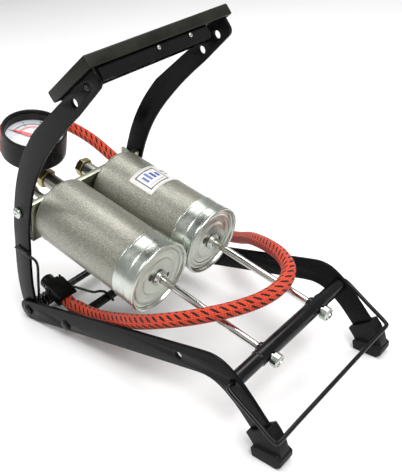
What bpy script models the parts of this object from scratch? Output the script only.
# Twin-cylinder foot air pump.
# Metres, +Z up, +X across the pump, the front feet towards -Y.
import bpy
import bmesh
import math
from mathutils import Vector, Matrix

for ob in list(bpy.data.objects):
    bpy.data.objects.remove(ob, do_unlink=True)

MM = 0.001

# ---------------------------------------------------------------- dimensions
# Side view coordinates are (y, z) in millimetres with the rear pivot at y = 0.
Y_SHIFT = 94.855         # moves the side view so that the origin is mid-length
RAIL_OUT = 62.2         # outer face of each base rail, from the middle plane
STRIP_T = 2.5           # thickness of the flat steel strip
STRIP_HW = 8.75         # half width of the strip
ARM_OUT = 59.2          # outer face of each lever arm
PIVOT_A = (0.0, 9.0)    # rear pivot of the lever
PIVOT_C = (-219.0, 47.5)  # front crossbar
ROD_ANGLE = math.radians(14.5)
PIVOT_B = (209.0, 5.3)  # bracket bolt: distance from C along and above the rods
REAR_BAR = (-50.4, 15.4)
CYL_X = 28.6            # cylinder axis from the middle plane
CAP_R = 27.2
BARREL_R = 26.3
BARREL_T = 1.2
CAP_FRONT = 92.0        # cap face from the crossbar, along the rods
BARREL_REAR = 197.2
ROD_R = 2.75
OUTLET_N = -8.0         # outlets lie this far below the cylinder axis
CENTRE_N = -14.0        # centre pipe height, same direction
GAUGE_RIM = (28.3, 141.4)
GAUGE_TILT = math.radians(21.0)
GAUGE_R = 26.6
PAD_REAR_TOP = (-91.5, 211.0)
PAD_TILT = math.radians(34.4)
PAD_LEN = 49.0
PAD_HALF_W = 62.8
PAD_DEPTH = 8.0
HOSE_R = 5.2
WIRE_R = 1.5
BAIL_X = 67.4
BAIL_FOOT = (-253.7, 21.9)

# ---------------------------------------------------------------- materials
def material(name, rgb, rough, metal):
    m = bpy.data.materials.new(name)
    m.use_nodes = True
    b = m.node_tree.nodes["Principled BSDF"]
    b.inputs["Base Color"].default_value = (rgb[0], rgb[1], rgb[2], 1.0)
    b.inputs["Roughness"].default_value = rough
    b.inputs["Metallic"].default_value = metal
    m.diffuse_color = (rgb[0], rgb[1], rgb[2], 1.0)
    return m

BLACK_PAINT = (0.030, 0.029, 0.028)
BLACK_RUBBER = (0.022, 0.022, 0.021)
BLACK_PLASTIC = (0.026, 0.026, 0.026)
SILVER_PAINT = (0.38, 0.365, 0.33)
ZINC = (0.62, 0.62, 0.60)
YELLOW_ZINC = (0.55, 0.50, 0.36)
CHROME = (0.72, 0.72, 0.72)
BRASS = (0.55, 0.43, 0.20)
ALU = (0.60, 0.60, 0.60)
HOSE_RED = (0.75, 0.10, 0.03)
WHITE = (0.80, 0.80, 0.78)
RED = (0.75, 0.03, 0.02)
GLASS = (0.85, 0.90, 0.92)

# ---------------------------------------------------------------- collections
pump = bpy.data.collections.new("foot_pump")
cutters = bpy.data.collections.new("cutters")
bpy.context.scene.collection.children.link(pump)
bpy.context.scene.collection.children.link(cutters)


def link(obj, coll):
    for c in list(obj.users_collection):
        c.objects.unlink(obj)
    coll.objects.link(obj)


def side(y, z, x=0.0):
    """Side-view point (mm) to world metres."""
    return Vector((x, y + Y_SHIFT, z)) * MM


D = Vector((0.0, math.cos(ROD_ANGLE), math.sin(ROD_ANGLE)))
N = Vector((0.0, -math.sin(ROD_ANGLE), math.cos(ROD_ANGLE)))


def rod_pt(x, s, n=0.0):
    """Point x across, s along the rods from the crossbar, n above them (mm)."""
    return side(PIVOT_C[0], PIVOT_C[1], x) + (D * s + N * n) * MM


def empty(name, loc, parent=None):
    e = bpy.data.objects.new(name, None)
    e.empty_display_size = 0.01
    pump.objects.link(e)
    e.parent = parent
    e.location = loc - (parent.location if parent else Vector((0, 0, 0)))
    return e


base_root = empty("base_root", Vector((0, 0, 0)))
lever_axis = empty("lever_axis", side(*PIVOT_A), base_root)
carriage_axis = empty("carriage_axis", side(*PIVOT_C), base_root)
bail_axis = empty("bail_axis", side(*PIVOT_C), base_root)
WORLD = {base_root: base_root.location.copy(), lever_axis: side(*PIVOT_A),
         carriage_axis: side(*PIVOT_C), bail_axis: side(*PIVOT_C)}
barrel_slide = empty("barrel_slide", Vector((0, 0, 0)), None)
barrel_slide.parent = carriage_axis
barrel_slide.location = rod_pt(0, BARREL_REAR) - WORLD[carriage_axis]
WORLD[barrel_slide] = rod_pt(0, BARREL_REAR)


def child_empty(name, world, parent):
    e = bpy.data.objects.new(name, None)
    e.empty_display_size = 0.01
    pump.objects.link(e)
    e.parent = parent
    e.location = world - WORLD[parent]
    WORLD[e] = world
    return e


def finish(obj, name, mat, parent, loc=None, rot=None, smooth=None):
    """Name, place, parent and shade one piece."""
    obj.name = name
    obj.data.name = name
    if loc is not None:
        obj.location = loc
    if rot is not None:
        obj.rotation_euler = rot
    world = obj.location.copy()
    obj.parent = parent
    obj.location = world - WORLD[parent]
    obj.data.materials.clear()
    obj.data.materials.append(material(name + "_mat", *mat))
    if smooth and obj.type == "MESH":
        obj.data.shade_smooth()
        obj.data.set_sharp_from_angle(angle=math.radians(smooth))
    link(obj, pump)
    return obj


# ---------------------------------------------------------------- builders
def turned_mesh(name, profile, steps, closed):
    """Profile of (radius, height) millimetres, outer side top to bottom."""
    me = bpy.data.meshes.new(name)
    verts = [(r * MM, 0.0, h * MM) for r, h in profile]
    edges = [(i, i + 1) for i in range(len(verts) - 1)]
    if closed:
        edges.append((len(verts) - 1, 0))
    me.from_pydata(verts, edges, [])
    ob = bpy.data.objects.new(name, me)
    pump.objects.link(ob)
    m = ob.modifiers.new("turn", "SCREW")
    m.axis = "Z"
    m.angle = math.tau
    m.steps = steps
    m.render_steps = steps
    m.use_merge_vertices = True
    m.merge_threshold = 0.00001
    m.use_smooth_shade = True
    return ob


def turned(name, profile, mat, parent, loc, rot=(0, 0, 0), steps=32, closed=False):
    ob = turned_mesh(name, profile, steps, closed)
    return finish(ob, name, mat, parent, loc, rot)


def outline(name, loops, half_t, mat, parent, x, origin):
    """Flat plate in the side plane from (y, z) loops in millimetres."""
    cu = bpy.data.curves.new(name, "CURVE")
    cu.dimensions = "2D"
    cu.fill_mode = "BOTH"
    cu.extrude = half_t * MM
    for loop in loops:
        sp = cu.splines.new("POLY")
        sp.points.add(len(loop) - 1)
        for p, (y, z) in zip(sp.points, loop):
            p.co = ((y - origin[0]) * MM, (z - origin[1]) * MM, 0.0, 1.0)
        sp.use_cyclic_u = True
    ob = bpy.data.objects.new(name, cu)
    pump.objects.link(ob)
    return finish(ob, name, mat, parent, side(origin[0], origin[1], x),
                  (math.pi / 2, 0.0, math.pi / 2))


def tube(name, pts, radius, mat, parent, res=2, caps=True):
    """Round wire through world points given in metres."""
    cu = bpy.data.curves.new(name, "CURVE")
    cu.dimensions = "3D"
    cu.fill_mode = "FULL"
    cu.bevel_depth = radius * MM
    cu.bevel_resolution = res
    cu.use_fill_caps = caps
    o = Vector(pts[0])
    sp = cu.splines.new("POLY")
    sp.points.add(len(pts) - 1)
    for p, q in zip(sp.points, pts):
        v = Vector(q) - o
        p.co = (v.x, v.y, v.z, 1.0)
    ob = bpy.data.objects.new(name, cu)
    pump.objects.link(ob)
    return finish(ob, name, mat, parent, o)


def prim_cyl(name, p0, p1, r, verts=24, r2=None):
    """Cylinder or cone between two world points, as a bare object."""
    p0, p1 = Vector(p0), Vector(p1)
    ax = p1 - p0
    bpy.ops.mesh.primitive_cone_add(vertices=verts, radius1=r * MM,
                                    radius2=(r if r2 is None else r2) * MM,
                                    depth=ax.length)
    ob = bpy.context.active_object
    ob.name = name
    ob.rotation_mode = "XYZ"
    ob.rotation_euler = ax.to_track_quat("Z", "Y").to_euler("XYZ")
    ob.location = (p0 + p1) / 2
    return ob


def prim_box(name, centre, size, rot_x=0.0):
    """Box with the scale applied, turned about X."""
    bpy.ops.mesh.primitive_cube_add(size=1.0)
    ob = bpy.context.active_object
    ob.name = name
    for v in ob.data.vertices:
        v.co = Vector((v.co.x * size[0], v.co.y * size[1], v.co.z * size[2])) * MM
    ob.rotation_euler = (rot_x, 0.0, 0.0)
    ob.location = Vector(centre)
    return ob


def as_cutter(ob):
    link(ob, cutters)
    ob.hide_render = True
    ob.display_type = "WIRE"
    return ob


def combine(ob, other, op):
    as_cutter(other)
    m = ob.modifiers.new(op.lower(), "BOOLEAN")
    m.operation = op
    m.solver = "EXACT"
    m.object = other
    return ob


def outline_solid(name, loop, half_t, x, origin):
    """Plate built as a mesh prism so that it can take part in a Boolean."""
    bm = bmesh.new()
    vs = [bm.verts.new(((-half_t) * MM, (y - origin[0]) * MM, (z - origin[1]) * MM))
          for y, z in loop]
    f = bm.faces.new(vs)
    res = bmesh.ops.extrude_face_region(bm, geom=[f])
    moved = [g for g in res["geom"] if isinstance(g, bmesh.types.BMVert)]
    bmesh.ops.translate(bm, verts=moved, vec=(2 * half_t * MM, 0, 0))
    bmesh.ops.recalc_face_normals(bm, faces=bm.faces)
    me = bpy.data.meshes.new(name)
    bm.to_mesh(me)
    bm.free()
    ob = bpy.data.objects.new(name, me)
    pump.objects.link(ob)
    ob.location = side(origin[0], origin[1], x)
    return ob


def circle(cy, cz, r, n=16):
    return [(cy + r * math.cos(math.tau * i / n), cz + r * math.sin(math.tau * i / n))
            for i in range(n)]


def smooth_route(pts, count, rounds=0):
    """Centripetal Catmull-Rom through points, resampled to even spacing."""
    P = [Vector(p) for p in pts]
    P = [P[0] * 2 - P[1]] + P + [P[-1] * 2 - P[-2]]
    dense = []
    for i in range(1, len(P) - 2):
        p0, p1, p2, p3 = P[i - 1], P[i], P[i + 1], P[i + 2]
        t0 = 0.0
        t1 = t0 + max(1e-9, (p1 - p0).length) ** 0.5
        t2 = t1 + max(1e-9, (p2 - p1).length) ** 0.5
        t3 = t2 + max(1e-9, (p3 - p2).length) ** 0.5
        for k in range(16):
            t = t1 + (t2 - t1) * k / 16
            a1 = p0 * ((t1 - t) / (t1 - t0)) + p1 * ((t - t0) / (t1 - t0))
            a2 = p1 * ((t2 - t) / (t2 - t1)) + p2 * ((t - t1) / (t2 - t1))
            a3 = p2 * ((t3 - t) / (t3 - t2)) + p3 * ((t - t2) / (t3 - t2))
            b1 = a1 * ((t2 - t) / (t2 - t0)) + a2 * ((t - t0) / (t2 - t0))
            b2 = a2 * ((t3 - t) / (t3 - t1)) + a3 * ((t - t1) / (t3 - t1))
            dense.append(b1 * ((t2 - t) / (t2 - t1)) + b2 * ((t - t1) / (t2 - t1)))
    dense.append(P[-2])
    for _ in range(rounds):
        dense = [dense[0], dense[1]] + [(dense[i - 1] + dense[i] * 2 + dense[i + 1]) / 4
                                        for i in range(2, len(dense) - 2)] + dense[-2:]
    acc = [0.0]
    for a, b in zip(dense, dense[1:]):
        acc.append(acc[-1] + (b - a).length)
    out = []
    j = 0
    for i in range(count):
        want = acc[-1] * i / (count - 1)
        while j < len(acc) - 2 and acc[j + 1] < want:
            j += 1
        f = (want - acc[j]) / max(1e-12, acc[j + 1] - acc[j])
        out.append(dense[j].lerp(dense[j + 1], min(1.0, max(0.0, f))))
    return out


ALONG = (-(math.pi / 2 - ROD_ANGLE), 0.0, 0.0)   # local Z along the rods
ACROSS = (0.0, math.pi / 2, 0.0)                 # local Z along +X

# ---------------------------------------------------------------- base frame
SL = 0.2155
CA = math.cos(math.atan(SL))
SA = math.sin(math.atan(SL))
rail = []
for i in range(13):                                # rounded rear end
    a = math.radians(-102.2 + 180.0 * i / 12)
    rail.append((PIVOT_A[0] + 9.0 * math.cos(a), PIVOT_A[1] + 9.0 * math.sin(a)))
rail += [(-100.0, 17.85 + SL * 101.9), (-186.0, 58.2), (-194.0, 59.8), (-200.0, 60.9),
         (-205.0, 61.1), (-210.5, 60.1), (-215.5, 57.8), (-220.5, 54.2), (-226.0, 49.4),
         (-230.5, 44.4), (-235.0, 38.9), (-239.5, 33.2), (-250.0, 19.9),
         (-236.2, 9.1), (-221.6, 27.6), (-215.6, 33.4), (-210.0, 37.6),
         (-204.0, 40.5), (-197.0, 41.6), (-190.0, 40.8), (-186.0, 39.95),
         (-100.0, 0.2 + SL * 98.1)]
rail_holes = [circle(PIVOT_A[0], PIVOT_A[1], 3.3), circle(REAR_BAR[0], REAR_BAR[1], 2.7, 12),
              circle(PIVOT_C[0], PIVOT_C[1], 2.2, 12), circle(-174.3, 46.6, 2.7, 14)]
for sgn, nm in ((-1, "rail_left"), (1, "rail_right")):
    outline(nm, [rail] + rail_holes, STRIP_T / 2, (BLACK_PAINT, 0.38, 0.0), base_root,
            sgn * (RAIL_OUT - STRIP_T / 2), PIVOT_A)

RX = RAIL_OUT
turned("rear_axle", [(0, RX + 2.2), (3.2, RX + 2.0), (5.0, RX + 0.4), (3.0, RX + 0.35),
                     (3.0, -RX - 0.35), (5.0, -RX - 0.4), (3.2, -RX - 2.0), (0, -RX - 2.2)],
       (BLACK_PAINT, 0.4, 0.2), base_root, side(*PIVOT_A), ACROSS, 16)
IN = RAIL_OUT - STRIP_T - 0.3
turned("rear_crossbar", [(0, RX + 1.9), (2.6, RX + 1.7), (4.4, RX + 0.4), (2.4, RX + 0.35),
                         (2.4, IN), (3.6, IN), (3.6, -IN), (2.4, -IN), (2.4, -RX - 0.35),
                         (4.4, -RX - 0.4), (2.6, -RX - 1.7), (0, -RX - 1.9)],
       (BLACK_PAINT, 0.4, 0.0), base_root, side(*REAR_BAR), ACROSS, 12)

boot_sleeve = [(-228.7, 14.9), (-233.2, 8.6), (-234.6, 5.5), (-235.0, 0.0), (-251.0, 0.0),
               (-254.3, 3.4), (-255.0, 9.5), (-253.3, 17.0), (-250.0, 23.4), (-246.3, 28.0)]
boot_base = [(-233.2, 6.5), (-234.0, 0.0), (-252.0, 0.0), (-255.6, 3.4), (-255.8, 8.0),
             (-252.0, 10.5), (-236.0, 8.8)]
tdir = (-0.618, -0.786)
ndir = (0.786, -0.618)
mid = (-243.1 - 0.2 * tdir[0], 14.5 - 0.2 * tdir[1])
hw, up = 9.1, 40.0
pocket = [(mid[0] + ndir[0] * hw + tdir[0] * 0.5, mid[1] + ndir[1] * hw + tdir[1] * 0.5),
          (mid[0] - ndir[0] * hw + tdir[0] * 0.5, mid[1] - ndir[1] * hw + tdir[1] * 0.5),
          (mid[0] - ndir[0] * hw - tdir[0] * up, mid[1] - ndir[1] * hw - tdir[1] * up),
          (mid[0] + ndir[0] * hw - tdir[0] * up, mid[1] + ndir[1] * hw - tdir[1] * up)]
for sgn, nm in ((-1, "boot_left"), (1, "boot_right")):
    xc = sgn * (RAIL_OUT - STRIP_T / 2)
    o = (-243.0, 0.0)
    b = outline_solid(nm, boot_sleeve, 4.4, xc, o)
    combine(b, outline_solid(nm + "_base", boot_base, 6.6, xc, o), "UNION")
    combine(b, outline_solid(nm + "_pocket", pocket, STRIP_T / 2 + 0.3, xc, o), "DIFFERENCE")
    finish(b, nm, (BLACK_RUBBER, 0.75, 0.0), base_root)

# torsion return spring around the rear axle, with one leg hooked over the left
# arm and the other hooked over the rear crossbar
spring = []
COIL_R, SW = 5.2, 1.1
turns, per = 8, 8
x0, x1 = -54.2, -27.0
spring += [side(-3.6, 70.6, -60.75), side(-12.0, 69.4, -60.75), side(-19.6, 68.2, -60.75),
           side(-22.6, 67.2, -59.6), side(-23.2, 66.2, -57.5), side(-22.2, 64.5, -55.4),
           side(-20.0, 60.0, -54.4), side(-13.0, 38.0, -54.2), side(-7.6, 19.5, -54.2)]
a_start = 150.0
for i in range(turns * per + 1):
    a = math.radians(a_start) - math.tau * i / per
    spring.append(side(PIVOT_A[0] + COIL_R * math.cos(a), PIVOT_A[1] + COIL_R * math.sin(a),
                       x0 + (x1 - x0) * i / (turns * per)))
spring = spring[:9] + spring[9:]
last_a = math.radians(a_start)
spring += [side(-12.0, 15.4, -25.2), side(-38.0, 17.6, -21.6), side(-45.5, 20.9, -20.5),
           side(-50.5, 21.4, -19.5), side(-55.2, 18.4, -18.3), side(-56.0, 13.8, -17.0)]
tube("torsion_spring", spring, SW, (BLACK_PAINT, 0.35, 0.6), base_root, 1)

# ---------------------------------------------------------------- lever
PU = (-math.cos(PAD_TILT), math.sin(PAD_TILT))     # along the pad, rear to front
PW = (math.sin(PAD_TILT), math.cos(PAD_TILT))      # out of the pad's top


def pad_pt(u, w):
    return (PAD_REAR_TOP[0] + PU[0] * u + PW[0] * w, PAD_REAR_TOP[1] + PU[1] * u + PW[1] * w)


centre = [(0.0, 9.0), (0.3, 24.0), (-1.6, 39.0), (-5.2, 54.0), (-11.2, 75.0), (-15.6, 90.0),
          (-22.0, 106.0), (-31.0, 125.0), (-40.0, 140.0), (-49.3, 152.5), (-60.6, 165.0),
          (-74.8, 178.6), (-86.7, 189.0), (-98.0, 198.0), (-106.5, 204.4)]
fine = [(v.y, v.z) for v in smooth_route([(0, a, b) for a, b in centre], 20)]
rear, front = [], []
for i, (y, z) in enumerate(fine):
    a = fine[max(0, i - 1)]
    b = fine[min(len(fine) - 1, i + 1)]
    t = Vector((b[0] - a[0], b[1] - a[1])).normalized()
    rear.append((y + t.y * STRIP_HW, z - t.x * STRIP_HW))
    front.append((y - t.y * STRIP_HW, z + t.x * STRIP_HW))
rear = [p for p in rear[1:] if (p[0] - PAD_REAR_TOP[0]) * PW[0] + (p[1] - PAD_REAR_TOP[1]) * PW[1] < -10.0]
front = front[1:]
foot = [(PIVOT_A[0] + 9.0 * math.cos(math.radians(a)), PIVOT_A[1] + 9.0 * math.sin(math.radians(a)))
        for a in range(180, 361, 18)]
head = [pad_pt(-1.2, -8.9), pad_pt(3.2, -8.9), pad_pt(3.2, -3.5), pad_pt(45.6, -3.5),
        pad_pt(45.6, -13.8), pad_pt(45.0, -16.7), pad_pt(43.2, -18.6), pad_pt(40.0, -19.6)]
arm = foot + rear + head + list(reversed(front))
B_SIDE = (PIVOT_C[0] + math.cos(ROD_ANGLE) * PIVOT_B[0] - math.sin(ROD_ANGLE) * PIVOT_B[1],
          PIVOT_C[1] + math.sin(ROD_ANGLE) * PIVOT_B[0] + math.cos(ROD_ANGLE) * PIVOT_B[1])
arm_holes = [circle(PIVOT_A[0], PIVOT_A[1], 3.4), circle(B_SIDE[0], B_SIDE[1], 2.8, 14),
             circle(-111.3, 206.1, 2.9, 14), circle(-126.2, 218.2, 2.9, 14)]
for sgn, nm in ((-1, "arm_left"), (1, "arm_right")):
    outline(nm, [arm] + arm_holes, STRIP_T / 2, (BLACK_PAINT, 0.38, 0.0), lever_axis,
            sgn * (ARM_OUT - STRIP_T / 2), PIVOT_A)

ARM_IN = ARM_OUT - STRIP_T
plate_mid = [(6.0, -9.5), (6.0, -6.2), (7.6, -4.6), (10.0, -4.4), (40.5, -4.4), (43.2, -5.4),
             (44.8, -8.0), (45.3, -11.0), (45.0, -14.0), (44.0, -16.6)]
top, bot = [], []
for i, p in enumerate(plate_mid):
    a = plate_mid[max(0, i - 1)]
    b = plate_mid[min(len(plate_mid) - 1, i + 1)]
    t = Vector((b[0] - a[0], b[1] - a[1])).normalized()
    top.append(pad_pt(p[0] - t.y * 0.85, p[1] + t.x * 0.85))
    bot.append(pad_pt(p[0] + t.y * 0.85, p[1] - t.x * 0.85))
plate = outline_solid("pedal_plate", top + list(reversed(bot)), ARM_IN - 0.3, 0.0, PIVOT_A)
c = pad_pt(41.5, -17.0)
combine(plate, prim_box("pedal_plate_notch", side(c[0], c[1], 48.0), (20.0, 17.0, 20.0), -PAD_TILT), "DIFFERENCE")
finish(plate, "pedal_plate", (BLACK_PAINT, 0.3, 0.0), lever_axis)

c = pad_pt(PAD_LEN / 2, -PAD_DEPTH / 2)
pad = prim_box("pedal_pad", side(c[0], c[1]), (2 * PAD_HALF_W, PAD_LEN, PAD_DEPTH), -PAD_TILT)
ci = pad_pt(PAD_LEN / 2, -PAD_DEPTH / 2 - 3.0)
combine(pad, prim_box("pedal_pad_hollow", side(ci[0], ci[1]),
                      (2 * (PAD_HALF_W - 2.8), PAD_LEN - 5.4, PAD_DEPTH), -PAD_TILT), "DIFFERENCE")
finish(pad, "pedal_pad", (BLACK_RUBBER, 0.6, 0.0), lever_axis)

rv = pad_pt(46.6, -10.6)
for i, (nm, x) in enumerate((("pedal_rivet_left", -8.3), ("pedal_rivet_right", 20.5))):
    turned(nm, [(0, 1.3), (1.0, 1.15), (1.8, 0.5), (2.0, 0.0), (0, 0.0)], (ZINC, 0.35, 0.9),
           lever_axis, side(rv[0], rv[1], x), (math.pi / 2 - PAD_TILT + math.pi * 0.0, 0.0, 0.0), 14)

for sgn, nm in ((-1, "pivot_bolt_left"), (1, "pivot_bolt_right")):
    turned(nm, [(0, 3.0), (3.0, 2.8), (4.3, 2.0), (4.5, 0.3), (2.5, 0.3), (2.5, -STRIP_T + 0.1),
                (0, -STRIP_T + 0.1)],
           (ZINC, 0.3, 0.9), lever_axis, side(B_SIDE[0], B_SIDE[1], sgn * ARM_OUT),
           (0.0, sgn * math.pi / 2, 0.0), 16)

# ---------------------------------------------------------------- rods
CROSS_HALF = RAIL_OUT - STRIP_T - 0.4
bar = turned_mesh("front_crossbar",
                  [(0, CROSS_HALF - 14.0), (2.0, CROSS_HALF - 14.0), (2.0, CROSS_HALF),
                   (5.0, CROSS_HALF), (5.0, 37.2), (5.6, 36.4), (5.6, -36.4), (5.0, -37.2),
                   (5.0, -CROSS_HALF), (2.0, -CROSS_HALF), (2.0, -CROSS_HALF + 14.0),
                                      (0, -CROSS_HALF + 14.0)], 20, False)
bar.location = side(*PIVOT_C)
bar.rotation_euler = ACROSS
for sgn in (-1, 1):
    combine(bar, prim_cyl("crossbar_bore", rod_pt(sgn * CYL_X, -20.0), rod_pt(sgn * CYL_X, 20.0), 3.1, 14), "DIFFERENCE")
finish(bar, "front_crossbar", (BLACK_PAINT, 0.38, 0.0), carriage_axis)

ROD_END = 120.2
for sgn, sd in ((-1, "left"), (1, "right")):
    x = sgn * CYL_X
    turned("rod_" + sd, [(0, ROD_END), (2.2, ROD_END), (ROD_R, ROD_END - 0.6), (ROD_R, -12.3),
                         (2.2, -12.9), (0, -12.9)], (CHROME, 0.12, 1.0), carriage_axis,
           rod_pt(x, 0), ALONG, 20)
    turned("rod_nut_" + sd, [(5.0, -6.1), (5.0, -10.9), (4.3, -11.7), (3.3, -11.7), (3.3, -6.1)],
           (ZINC, 0.25, 1.0), carriage_axis, rod_pt(x, 0), ALONG, 6, True)
    turned("piston_" + sd, [(22.0, 116.4), (22.0, 112.8), (20.0, 112.6), (20.0, 108.8), (22.0, 108.6),
                            (22.0, 105.2), (3.1, 105.2), (3.1, 116.4)], (ALU, 0.4, 0.9),
           carriage_axis, rod_pt(x, 0), ALONG, 24, True)
    turned("piston_seal_" + sd, [(24.7, 114.1), (24.6, 111.2), (22.6, 109.1), (20.4, 109.1),
                                 (20.4, 112.3), (22.4, 112.3), (23.6, 114.1)],
           (BLACK_RUBBER, 0.6, 0.0), carriage_axis, rod_pt(x, 0), ALONG, 24, True)
    turned("piston_nut_" + sd, [(5.4, 120.0), (5.4, 116.8), (3.3, 116.8), (3.3, 120.0)],
           (ZINC, 0.35, 1.0), carriage_axis, rod_pt(x, 0), ALONG, 6, True)

# ---------------------------------------------------------------- cylinders
for sgn, sd in ((-1, "left"), (1, "right")):
    x = sgn * CYL_X
    b = turned_mesh("barrel_" + sd,
                    [(0, BARREL_REAR), (BARREL_R - 2.4, BARREL_REAR),
                     (BARREL_R - 0.7, BARREL_REAR - 0.7), (BARREL_R, BARREL_REAR - 2.4),
                     (BARREL_R, CAP_FRONT + 5.6), (BARREL_R - BARREL_T, CAP_FRONT + 5.6),
                     (BARREL_R - BARREL_T, BARREL_REAR - 2.6), (0, BARREL_REAR - 2.6)], 32, False)
    b.location = rod_pt(x, 0)
    b.rotation_euler = ALONG
    combine(b, prim_cyl("outlet_hole", rod_pt(x, 185, OUTLET_N), rod_pt(x, 205, OUTLET_N), 4.6, 16), "DIFFERENCE")
    finish(b, "barrel_" + sd, (SILVER_PAINT, 0.38, 0.5), barrel_slide)

    F = CAP_FRONT
    cap = turned_mesh("end_cap_" + sd,
                      [(CAP_R, F + 20.0), (CAP_R, F + 2.0), (CAP_R + 0.5, F + 1.3), (CAP_R + 0.4, F + 0.3),
                       (CAP_R - 0.6, F - 0.3), (CAP_R - 1.6, F + 0.2), (CAP_R - 2.6, F + 2.4),
                       (20.4, F + 2.8), (19.6, F + 1.9), (14.2, F + 1.9), (13.4, F + 1.2), (4.9, F + 1.2),
                       (4.9, F + 2.2), (13.0, F + 2.2), (14.0, F + 2.9), (19.4, F + 2.9),
                       (CAP_R - 2.4, F + 3.6), (CAP_R - 0.6, F + 4.6), (CAP_R - 0.6, F + 20.0)], 30, True)
    cap.location = rod_pt(x, 0)
    cap.rotation_euler = ALONG
    for dx, dn in ((-8.4, 4.6), (6.6, -4.6)):
        combine(cap, prim_cyl("vent", rod_pt(x + dx, F - 2.0, dn), rod_pt(x + dx, F + 6.0, dn), 1.7, 10), "DIFFERENCE")
    finish(cap, "end_cap_" + sd, (ZINC, 0.25, 1.0), barrel_slide)

    turned("rod_bushing_" + sd, [(4.5, F + 8.0), (4.5, F + 0.9), (6.0, F + 0.9), (6.0, F - 0.1), (4.8, F - 1.7),
                                 (3.1, F - 2.1), (3.1, F + 8.0)], (ZINC, 0.2, 1.0),
           barrel_slide, rod_pt(x, 0), ALONG, 18, True)
    turned("outlet_stub_" + sd, [(4.2, 241.0), (4.2, 194.3), (6.4, 194.2), (6.4, 192.6), (2.0, 192.6), (2.0, 241.0)],
           (ZINC, 0.35, 0.9), barrel_slide, rod_pt(x, 0, OUTLET_N), ALONG, 14, True)
    turned("outlet_nut_" + sd, [(7.8, 238.6), (8.3, 238.0), (8.3, 232.6), (7.8, 232.0), (5.1, 232.0), (5.1, 238.6)],
           (YELLOW_ZINC, 0.35, 0.9), barrel_slide, rod_pt(x, 0, OUTLET_N), ALONG, 6, True)

WEB0, WEB1 = 197.6, 199.6
EAR_X = 55.9
web_c = rod_pt(0, (WEB0 + WEB1) / 2, -1.0)
br = prim_box("rear_bracket", web_c, (2 * EAR_X, WEB1 - WEB0, 34.0), ROD_ANGLE)
for n0, fl_len in ((15.0, 5.0), (-17.0, 12.0)):
    combine(br, prim_box("bracket_flange", rod_pt(0, WEB0 + fl_len / 2, n0), (2 * EAR_X, fl_len, 2.0), ROD_ANGLE), "UNION")
for sgn in (-1, 1):
    combine(br, prim_box("bracket_ear", rod_pt(sgn * (EAR_X - 1.0), WEB0 + 9.5, 3.5), (2.0, 19.0, 15.0), ROD_ANGLE), "UNION")
for sgn in (-1, 1):
    combine(br, prim_cyl("bracket_hole", rod_pt(sgn * CYL_X, 190, OUTLET_N), rod_pt(sgn * CYL_X, 206, OUTLET_N), 4.6, 16), "DIFFERENCE")
combine(br, prim_cyl("bracket_pivot", rod_pt(-70, *PIVOT_B), rod_pt(70, *PIVOT_B), 2.8, 16), "DIFFERENCE")
finish(br, "rear_bracket", (YELLOW_ZINC, 0.35, 0.9), barrel_slide)

mf = prim_cyl("manifold", rod_pt(0, 213.0, CENTRE_N), rod_pt(0, 246.8, CENTRE_N), 6.4, 18)
combine(mf, prim_cyl("manifold_cross", rod_pt(-CYL_X, 219.5, CENTRE_N), rod_pt(CYL_X, 219.5, CENTRE_N), 4.6, 14), "UNION")
for sgn in (-1, 1):
    combine(mf, prim_cyl("manifold_socket", rod_pt(sgn * CYL_X, 199.9, OUTLET_N), rod_pt(sgn * CYL_X, 231.7, OUTLET_N), 6.3, 16), "UNION")
for sgn in (-1, 1):
    combine(mf, prim_cyl("manifold_bore", rod_pt(sgn * CYL_X, 195.0, OUTLET_N), rod_pt(sgn * CYL_X, 240.0, OUTLET_N), 4.6, 16), "DIFFERENCE")
combine(mf, prim_cyl("manifold_seat", rod_pt(0, 236.0, CENTRE_N), rod_pt(0, 250.0, CENTRE_N), 4.6, 20), "DIFFERENCE")
finish(mf, "manifold", (ZINC, 0.35, 0.9), barrel_slide, smooth=None)

turned("centre_nut", [(8.2, 253.4), (8.7, 252.8), (8.7, 247.8), (8.2, 247.1), (5.1, 247.1), (5.1, 253.4)],
       (BRASS, 0.35, 0.9), barrel_slide, rod_pt(0, 0, CENTRE_N), ALONG, 6, True)

G = Vector((0.0, -math.sin(GAUGE_TILT), math.cos(GAUGE_TILT)))
RIM = side(*GAUGE_RIM)
tee = turned_mesh("tee_body", [(0, 276.6), (6.6, 276.6), (7.6, 275.6), (7.6, 254.7), (6.6, 253.7), (4.2, 253.7),
                               (4.2, 237.0), (0, 237.0)], 18, False)
tee.location = rod_pt(0, 0, CENTRE_N)
tee.rotation_euler = ALONG
combine(tee, prim_cyl("tee_boss", RIM - G * 41.0 * MM, RIM - G * 34.2 * MM, 5.6, 20), "UNION")
finish(tee, "tee_body", (BRASS, 0.4, 0.9), barrel_slide)

GROT = (GAUGE_TILT, 0.0, 0.0)
turned("gauge_stem", [(0, -27.0), (4.9, -27.0), (4.9, -33.9), (0, -33.9)], (BRASS, 0.35, 0.9),
       barrel_slide, RIM, GROT, 20)
turned("gauge_case", [(GAUGE_R - 0.8, 0.5), (GAUGE_R - 0.1, 0.0), (GAUGE_R, -4.0), (GAUGE_R + 0.3, -22.0),
                      (17.0, -32.0), (5.2, -32.0), (5.2, -29.6), (16.0, -29.6), (24.4, -20.8),
                      (24.4, -11.4), (22.2, -10.8), (22.2, -9.7), (24.3, -9.7), (24.3, 0.0), (24.9, 0.5)],
       (BLACK_PLASTIC, 0.45, 0.0), barrel_slide, RIM, GROT, 32, True)
turned("gauge_dial", [(0, -8.7), (23.9, -8.7), (23.9, -9.4), (0, -9.4)], (WHITE, 0.6, 0.0),
       barrel_slide, RIM, GROT, 28)
turned("gauge_lens", [(0, -1.2), (24.0, -1.2), (24.0, -2.4), (0, -2.4)], (GLASS, 0.05, 0.0),
       barrel_slide, RIM, GROT, 28)

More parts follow.
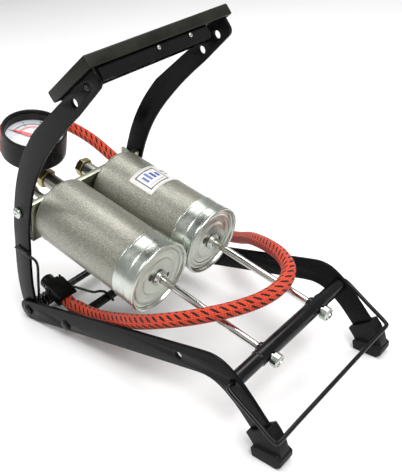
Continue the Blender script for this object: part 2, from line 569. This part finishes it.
needle_axis = child_empty("needle_axis", RIM - G * 8.4 * MM, barrel_slide)
hub = turned_mesh("gauge_needle", [(0, 2.2), (1.6, 2.0), (2.6, 1.4), (2.6, 0.0), (0, 0.0)], 20, False)
NEEDLE_ANGLE = math.radians(120.0)
hub.location = RIM - G * 8.4 * MM
hub.rotation_euler = GROT
bm = bmesh.new()
pts = [(-7.0, -1.1), (-7.0, 1.1), (0.0, 1.5), (19.0, 0.25), (19.0, -0.25), (0.0, -1.5)]
vs = []
for a, b in pts:
    vs.append(bm.verts.new((a * MM * math.cos(NEEDLE_ANGLE) - b * MM * math.sin(NEEDLE_ANGLE),
                            a * MM * math.sin(NEEDLE_ANGLE) + b * MM * math.cos(NEEDLE_ANGLE), 0.5 * MM)))
f = bm.faces.new(vs)
res = bmesh.ops.extrude_face_region(bm, geom=[f])
bmesh.ops.translate(bm, verts=[g for g in res["geom"] if isinstance(g, bmesh.types.BMVert)], vec=(0, 0, 0.6 * MM))
bmesh.ops.recalc_face_normals(bm, faces=bm.faces)
nm_ = bpy.data.meshes.new("needle_blade")
bm.to_mesh(nm_)
bm.free()
blade = bpy.data.objects.new("needle_blade", nm_)
pump.objects.link(blade)
blade.location = RIM - G * 8.4 * MM
blade.rotation_euler = GROT
combine(hub, blade, "UNION")
finish(hub, "gauge_needle", (RED, 0.5, 0.0), needle_axis)

turned("hose_ferrule", [(0, 289.4), (5.6, 289.4), (6.3, 288.6), (6.3, 278.2), (5.4, 277.0), (0, 277.0)],
       (ZINC, 0.35, 0.9), barrel_slide, rod_pt(0, 0, CENTRE_N), ALONG, 16)

# ---------------------------------------------------------------- bail
bw = [side(PIVOT_C[0], PIVOT_C[1], -48.0), side(PIVOT_C[0], PIVOT_C[1], -65.6),
      side(PIVOT_C[0] - 0.5, PIVOT_C[1] - 0.4, -66.9)]
leg0 = (PIVOT_C[0] - 2.0, PIVOT_C[1] - 1.5)
bw += [side(leg0[0], leg0[1], -BAIL_X), side(BAIL_FOOT[0] + 1.7, BAIL_FOOT[1] + 1.2, -BAIL_X),
       side(BAIL_FOOT[0] + 0.3, BAIL_FOOT[1] + 0.2, -BAIL_X + 0.5),
       side(BAIL_FOOT[0], BAIL_FOOT[1], -BAIL_X + 2.0)]
bw += [Vector((-p.x, p.y, p.z)) for p in reversed(bw)]
tube("bail_wire", bw, WIRE_R, (BLACK_PAINT, 0.35, 0.3), bail_axis, 2)

# ---------------------------------------------------------------- hose and chuck
start = rod_pt(0, 289.8, CENTRE_N)
CHUCK_TILT = math.radians(14.0)
CHUCK_YAW = math.radians(7.5)
CD = Vector((math.sin(CHUCK_YAW) * math.cos(CHUCK_TILT), math.cos(CHUCK_YAW) * math.cos(CHUCK_TILT),
             math.sin(CHUCK_TILT)))
CHUCK_END = side(-38.0, 24.8, -47.3)                # where the hose meets the chuck
route_mm = [(0.6, 80.0, 110.4), (6.5, 95.5, 115.0), (19.0, 106.5, 119.0), (36.0, 109.5, 121.0),
            (53.0, 103.0, 118.5), (67.0, 91.0, 111.5), (76.0, 77.0, 103.0), (82.0, 61.0, 92.5),
            (87.5, 43.0, 77.0), (94.0, 20.0, 57.0), (101.0, -10.0, 36.0), (104.5, -42.0, 22.5),
            (101.5, -76.0, 22.0), (91.0, -104.0, 33.0), (75.0, -129.5, 49.0), (56.5, -161.0, 62.0),
            (45.0, -181.0, 66.5), (31.0, -196.5, 68.0), (14.0, -203.0, 68.0), (-4.0, -200.5, 67.0),
            (-20.0, -193.0, 66.5), (-35.0, -183.0, 66.5), (-45.5, -169.0, 63.5), (-52.0, -152.0, 58.0),
            (-54.8, -134.0, 51.0), (-54.0, -115.0, 43.3), (-52.8, -97.0, 36.2), (-51.5, -80.0, 30.4),
            (-50.4, -65.0, 27.4), (-49.2, -51.5, 25.8)]
route = [start, start + D * 3 * MM, start + D * 7 * MM] + [side(y, z, x) for x, y, z in route_mm] + [CHUCK_END - CD * 7 * MM, CHUCK_END - CD * 3 * MM, CHUCK_END]
hose_pts = smooth_route(route, 68, 6)
tube("hose", hose_pts, HOSE_R, (HOSE_RED, 0.7, 0.0), base_root, 2)

chq = CD.to_track_quat("Z", "Y").to_euler("XYZ")
CX = Vector((1.0, 0.0, 0.0))
CUP = CX.cross(CD).normalized()                     # out of the chuck's top
CX = CD.cross(CUP).normalized()
c0 = CHUCK_END + CD * 0.9 * MM
turned("chuck_ferrule", [(0, 3.0), (5.2, 3.0), (5.2, 0.6), (4.8, 0.0), (0, 0.0)], (BLACK_PLASTIC, 0.5, 0.0),
       base_root, c0, chq, 20)


def chuck_box(name, a0, a1, half_x, n0, n1):
    ctr = c0 + CD * ((a0 + a1) / 2 * MM) + CUP * ((n0 + n1) / 2 * MM)
    ob = prim_box(name, ctr, (2 * half_x, a1 - a0, n1 - n0), 0.0)
    m3 = Matrix((CX, CD, CUP)).transposed()
    ob.rotation_euler = m3.to_euler("XYZ")
    return ob


cb = chuck_box("chuck_body", 3.3, 23.0, 5.9, -6.2, 5.2)
combine(cb, prim_cyl("chuck_nose", c0 + CD * 16.0 * MM - CUP * 1.6 * MM, c0 + CD * 30.0 * MM - CUP * 1.6 * MM, 6.1, 24), "UNION")
combine(cb, prim_cyl("chuck_mouth", c0 + CD * 21.0 * MM - CUP * 1.6 * MM, c0 + CD * 36.0 * MM - CUP * 1.6 * MM, 5.2, 24), "DIFFERENCE")
combine(cb, prim_cyl("chuck_pin_hole", c0 + CD * 19.4 * MM + CUP * 3.7 * MM - CX * 0.02, c0 + CD * 19.4 * MM + CUP * 3.7 * MM + CX * 0.02, 1.4, 12), "DIFFERENCE")
finish(cb, "chuck_body", (BLACK_PLASTIC, 0.5, 0.0), base_root)
seal_o = c0 + CD * 21.3 * MM - CUP * 1.6 * MM
turned("chuck_seal", [(4.95, 8.4), (4.95, 0.0), (4.0, 0.0), (4.0, 8.4)], (BLACK_RUBBER, 0.8, 0.0),
       base_root, seal_o, chq, 24, True)

PIN = c0 + CD * 19.4 * MM + CUP * 3.7 * MM
chuck_axis = child_empty("chuck_lever_axis", PIN, base_root)
cl = chuck_box("chuck_lever", -2.0, 17.9, 7.7, 5.6, 7.9)
for sgn in (-1, 1):
    cheek = chuck_box("lever_cheek", 13.5, 22.4, 0.6, 0.8, 6.8)
    cheek.location = cheek.location + CX * sgn * 7.1 * MM
    combine(cl, cheek, "UNION")
combine(cl, prim_cyl("lever_pin_hole", PIN - CX * 0.02, PIN + CX * 0.02, 1.4, 12), "DIFFERENCE")
finish(cl, "chuck_lever", (BLACK_PLASTIC, 0.45, 0.0), chuck_axis)
turned("chuck_pin", [(0, 7.6), (1.1, 7.6), (1.1, -7.6), (0, -7.6)], (ZINC, 0.3, 1.0), base_root, PIN, CX.to_track_quat("Z", "Y").to_euler("XYZ"), 12)

bpy.context.view_layer.update()
